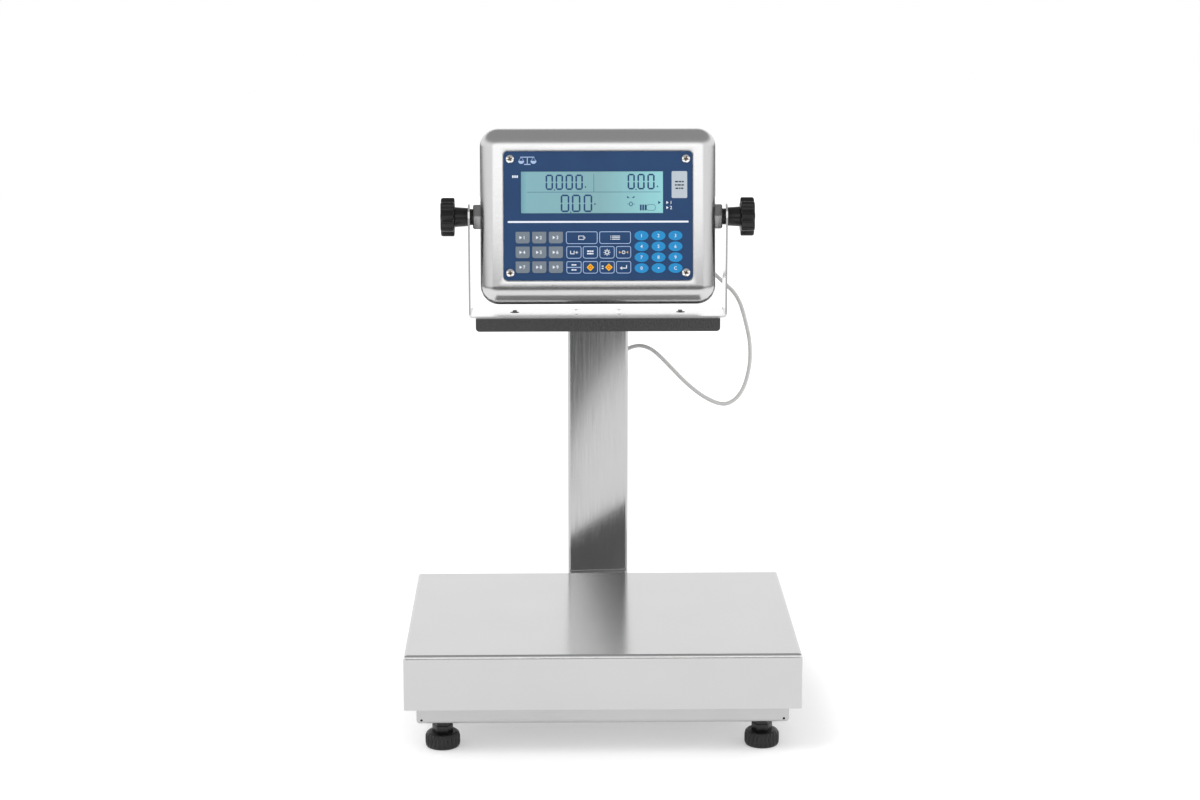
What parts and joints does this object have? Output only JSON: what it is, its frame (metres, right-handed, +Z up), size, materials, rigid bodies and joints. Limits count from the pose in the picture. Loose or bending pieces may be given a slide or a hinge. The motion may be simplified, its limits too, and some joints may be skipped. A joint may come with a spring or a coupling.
{
  "type": "bench scale",
  "caption": "Bench scale with a removable stainless pan on levelling feet, a rear column and a tilting keypad indicator held in a U-bracket by star knobs.",
  "frame": {"origin": "on the floor, below the middle of the whole scale's box, the free cable left out", "axes": "+X to the operator's right, +Y away from the operator towards the column, +Z up"},
  "size_m": [0.4, 0.4016, 0.5992],
  "materials": {
    "pan_steel": "fine straight-brushed stainless steel",
    "tray_steel": "plain mill-finish stainless steel",
    "cell_aluminium": "machined aluminium",
    "bolt_steel": "plain steel",
    "cast_aluminium": "sand-blasted casting",
    "buffer_rubber": "matt rubber",
    "column_steel": "satin stainless steel",
    "head_paint": "dark grey satin paint",
    "bracket_steel": "bright polished stainless steel",
    "screw_steel": "stainless steel",
    "case_steel": "satin pressed stainless steel",
    "gasket_rubber": "matt rubber",
    "panel_film": "fine-textured polyester film",
    "key_grey": "fine-textured polyester film",
    "key_navy": "fine-textured polyester film with a pale outline",
    "key_blue": "fine-textured polyester film",
    "lcd_glass": "clear window over a pale green-blue display",
    "board_green": "solder-masked circuit board",
    "washer_plastic": "black nylon",
    "knob_plastic": "black moulded plastic",
    "foot_plastic": "black moulded plastic",
    "nut_black": "blackened steel",
    "gland_plastic": "grey nylon",
    "cable_jacket": "pale grey vinyl jacket"
  },
  "bodies": {
    "base": {"base_tray": "tray_steel", "load_cell": "cell_aluminium", "hex_bolts": "bolt_steel", "platter_support": "cast_aluminium", "support_buffers": "buffer_rubber", "column_bracket": "tray_steel", "column": "column_steel", "head_plate": "head_paint", "u_bracket": "bracket_steel", "bracket_screws": "screw_steel", "column_gland": "gland_plastic", "cable": "cable_jacket", "lock_nuts": "nut_black"},
    "platter": {"platter": "pan_steel"},
    "indicator": {"front_shell": "case_steel", "gasket": "gasket_rubber", "rear_shell": "case_steel", "overlay": "panel_film", "pan_screws": "screw_steel", "lcd_module": "lcd_glass", "main_board": "board_green", "pivot_washers": "washer_plastic", "indicator_gland": "gland_plastic"},
    "knob_left": {"knob_left": "knob_plastic"},
    "knob_right": {"knob_right": "knob_plastic"},
    "foot_front_left": {"foot_front_left": "foot_plastic"},
    "foot_rear_left": {"foot_rear_left": "foot_plastic"},
    "foot_front_right": {"foot_front_right": "foot_plastic"},
    "foot_rear_right": {"foot_rear_right": "foot_plastic"},
    "key_p1": {"key_p1": "key_grey"},
    "key_p2": {"key_p2": "key_grey"},
    "key_p3": {"key_p3": "key_grey"},
    "key_p4": {"key_p4": "key_grey"},
    "key_p5": {"key_p5": "key_grey"},
    "key_p6": {"key_p6": "key_grey"},
    "key_p7": {"key_p7": "key_grey"},
    "key_p8": {"key_p8": "key_grey"},
    "key_p9": {"key_p9": "key_grey"},
    "key_price": {"key_price": "key_navy"},
    "key_lookup": {"key_lookup": "key_navy"},
    "key_memory_plus": {"key_memory_plus": "key_navy"},
    "key_text": {"key_text": "key_navy"},
    "key_setup": {"key_setup": "key_navy"},
    "key_tare": {"key_tare": "key_navy"},
    "key_split": {"key_split": "key_navy"},
    "key_diamond": {"key_diamond": "key_navy"},
    "key_mark": {"key_mark": "key_navy"},
    "key_total": {"key_total": "key_navy"},
    "key_1": {"key_1": "key_blue"},
    "key_2": {"key_2": "key_blue"},
    "key_3": {"key_3": "key_blue"},
    "key_4": {"key_4": "key_blue"},
    "key_5": {"key_5": "key_blue"},
    "key_6": {"key_6": "key_blue"},
    "key_7": {"key_7": "key_blue"},
    "key_8": {"key_8": "key_blue"},
    "key_9": {"key_9": "key_blue"},
    "key_0": {"key_0": "key_blue"},
    "key_point": {"key_point": "key_blue"},
    "key_clear": {"key_clear": "key_blue"}
  },
  "joints": [
    {"name": "platter_lift", "type": "slide", "parent": "base", "child": "platter", "axis": [0, 0, 1], "range_m": [0, 0.1]},
    {"name": "indicator_tilt", "type": "hinge", "parent": "base", "child": "indicator", "pos_m": [0, 0.13311, 0.503], "axis": [-1, 0, 0], "range_deg": [-30, 50], "deforming": ["cable"]},
    {"name": "knob_left_turn", "type": "hinge", "parent": "indicator", "child": "knob_left", "pos_m": [0, 0.13311, 0.503], "axis": [-1, 0, 0], "range_deg": [0, 720]},
    {"name": "knob_right_turn", "type": "hinge", "parent": "indicator", "child": "knob_right", "pos_m": [0, 0.13311, 0.503], "axis": [1, 0, 0], "range_deg": [0, 720]},
    {"name": "foot_front_left_height", "type": "slide", "parent": "base", "child": "foot_front_left", "axis": [0, 0, -1], "range_m": [0, 0.01]},
    {"name": "foot_rear_left_height", "type": "slide", "parent": "base", "child": "foot_rear_left", "axis": [0, 0, -1], "range_m": [0, 0.01]},
    {"name": "foot_front_right_height", "type": "slide", "parent": "base", "child": "foot_front_right", "axis": [0, 0, -1], "range_m": [0, 0.01]},
    {"name": "foot_rear_right_height", "type": "slide", "parent": "base", "child": "foot_rear_right", "axis": [0, 0, -1], "range_m": [0, 0.01]},
    {"name": "key_p1_press", "type": "slide", "parent": "indicator", "child": "key_p1", "axis": [0, 0.9848, -0.1736], "range_m": [0, 0.0004], "stiffness_N_per_m": 2000, "springref_m": -0.0002},
    {"name": "key_p2_press", "type": "slide", "parent": "indicator", "child": "key_p2", "axis": [0, 0.9848, -0.1736], "range_m": [0, 0.0004], "stiffness_N_per_m": 2000, "springref_m": -0.0002},
    {"name": "key_p3_press", "type": "slide", "parent": "indicator", "child": "key_p3", "axis": [0, 0.9848, -0.1736], "range_m": [0, 0.0004], "stiffness_N_per_m": 2000, "springref_m": -0.0002},
    {"name": "key_p4_press", "type": "slide", "parent": "indicator", "child": "key_p4", "axis": [0, 0.9848, -0.1736], "range_m": [0, 0.0004], "stiffness_N_per_m": 2000, "springref_m": -0.0002},
    {"name": "key_p5_press", "type": "slide", "parent": "indicator", "child": "key_p5", "axis": [0, 0.9848, -0.1736], "range_m": [0, 0.0004], "stiffness_N_per_m": 2000, "springref_m": -0.0002},
    {"name": "key_p6_press", "type": "slide", "parent": "indicator", "child": "key_p6", "axis": [0, 0.9848, -0.1736], "range_m": [0, 0.0004], "stiffness_N_per_m": 2000, "springref_m": -0.0002},
    {"name": "key_p7_press", "type": "slide", "parent": "indicator", "child": "key_p7", "axis": [0, 0.9848, -0.1736], "range_m": [0, 0.0004], "stiffness_N_per_m": 2000, "springref_m": -0.0002},
    {"name": "key_p8_press", "type": "slide", "parent": "indicator", "child": "key_p8", "axis": [0, 0.9848, -0.1736], "range_m": [0, 0.0004], "stiffness_N_per_m": 2000, "springref_m": -0.0002},
    {"name": "key_p9_press", "type": "slide", "parent": "indicator", "child": "key_p9", "axis": [0, 0.9848, -0.1736], "range_m": [0, 0.0004], "stiffness_N_per_m": 2000, "springref_m": -0.0002},
    {"name": "key_price_press", "type": "slide", "parent": "indicator", "child": "key_price", "axis": [0, 0.9848, -0.1736], "range_m": [0, 0.0004], "stiffness_N_per_m": 2000, "springref_m": -0.0002},
    {"name": "key_lookup_press", "type": "slide", "parent": "indicator", "child": "key_lookup", "axis": [0, 0.9848, -0.1736], "range_m": [0, 0.0004], "stiffness_N_per_m": 2000, "springref_m": -0.0002},
    {"name": "key_memory_plus_press", "type": "slide", "parent": "indicator", "child": "key_memory_plus", "axis": [0, 0.9848, -0.1736], "range_m": [0, 0.0004], "stiffness_N_per_m": 2000, "springref_m": -0.0002},
    {"name": "key_text_press", "type": "slide", "parent": "indicator", "child": "key_text", "axis": [0, 0.9848, -0.1736], "range_m": [0, 0.0004], "stiffness_N_per_m": 2000, "springref_m": -0.0002},
    {"name": "key_setup_press", "type": "slide", "parent": "indicator", "child": "key_setup", "axis": [0, 0.9848, -0.1736], "range_m": [0, 0.0004], "stiffness_N_per_m": 2000, "springref_m": -0.0002},
    {"name": "key_tare_press", "type": "slide", "parent": "indicator", "child": "key_tare", "axis": [0, 0.9848, -0.1736], "range_m": [0, 0.0004], "stiffness_N_per_m": 2000, "springref_m": -0.0002},
    {"name": "key_split_press", "type": "slide", "parent": "indicator", "child": "key_split", "axis": [0, 0.9848, -0.1736], "range_m": [0, 0.0004], "stiffness_N_per_m": 2000, "springref_m": -0.0002},
    {"name": "key_diamond_press", "type": "slide", "parent": "indicator", "child": "key_diamond", "axis": [0, 0.9848, -0.1736], "range_m": [0, 0.0004], "stiffness_N_per_m": 2000, "springref_m": -0.0002},
    {"name": "key_mark_press", "type": "slide", "parent": "indicator", "child": "key_mark", "axis": [0, 0.9848, -0.1736], "range_m": [0, 0.0004], "stiffness_N_per_m": 2000, "springref_m": -0.0002},
    {"name": "key_total_press", "type": "slide", "parent": "indicator", "child": "key_total", "axis": [0, 0.9848, -0.1736], "range_m": [0, 0.0004], "stiffness_N_per_m": 2000, "springref_m": -0.0002},
    {"name": "key_1_press", "type": "slide", "parent": "indicator", "child": "key_1", "axis": [0, 0.9848, -0.1736], "range_m": [0, 0.0004], "stiffness_N_per_m": 2000, "springref_m": -0.0002},
    {"name": "key_2_press", "type": "slide", "parent": "indicator", "child": "key_2", "axis": [0, 0.9848, -0.1736], "range_m": [0, 0.0004], "stiffness_N_per_m": 2000, "springref_m": -0.0002},
    {"name": "key_3_press", "type": "slide", "parent": "indicator", "child": "key_3", "axis": [0, 0.9848, -0.1736], "range_m": [0, 0.0004], "stiffness_N_per_m": 2000, "springref_m": -0.0002},
    {"name": "key_4_press", "type": "slide", "parent": "indicator", "child": "key_4", "axis": [0, 0.9848, -0.1736], "range_m": [0, 0.0004], "stiffness_N_per_m": 2000, "springref_m": -0.0002},
    {"name": "key_5_press", "type": "slide", "parent": "indicator", "child": "key_5", "axis": [0, 0.9848, -0.1736], "range_m": [0, 0.0004], "stiffness_N_per_m": 2000, "springref_m": -0.0002},
    {"name": "key_6_press", "type": "slide", "parent": "indicator", "child": "key_6", "axis": [0, 0.9848, -0.1736], "range_m": [0, 0.0004], "stiffness_N_per_m": 2000, "springref_m": -0.0002},
    {"name": "key_7_press", "type": "slide", "parent": "indicator", "child": "key_7", "axis": [0, 0.9848, -0.1736], "range_m": [0, 0.0004], "stiffness_N_per_m": 2000, "springref_m": -0.0002},
    {"name": "key_8_press", "type": "slide", "parent": "indicator", "child": "key_8", "axis": [0, 0.9848, -0.1736], "range_m": [0, 0.0004], "stiffness_N_per_m": 2000, "springref_m": -0.0002},
    {"name": "key_9_press", "type": "slide", "parent": "indicator", "child": "key_9", "axis": [0, 0.9848, -0.1736], "range_m": [0, 0.0004], "stiffness_N_per_m": 2000, "springref_m": -0.0002},
    {"name": "key_0_press", "type": "slide", "parent": "indicator", "child": "key_0", "axis": [0, 0.9848, -0.1736], "range_m": [0, 0.0004], "stiffness_N_per_m": 2000, "springref_m": -0.0002},
    {"name": "key_point_press", "type": "slide", "parent": "indicator", "child": "key_point", "axis": [0, 0.9848, -0.1736], "range_m": [0, 0.0004], "stiffness_N_per_m": 2000, "springref_m": -0.0002},
    {"name": "key_clear_press", "type": "slide", "parent": "indicator", "child": "key_clear", "axis": [0, 0.9848, -0.1736], "range_m": [0, 0.0004], "stiffness_N_per_m": 2000, "springref_m": -0.0002}
  ]
}
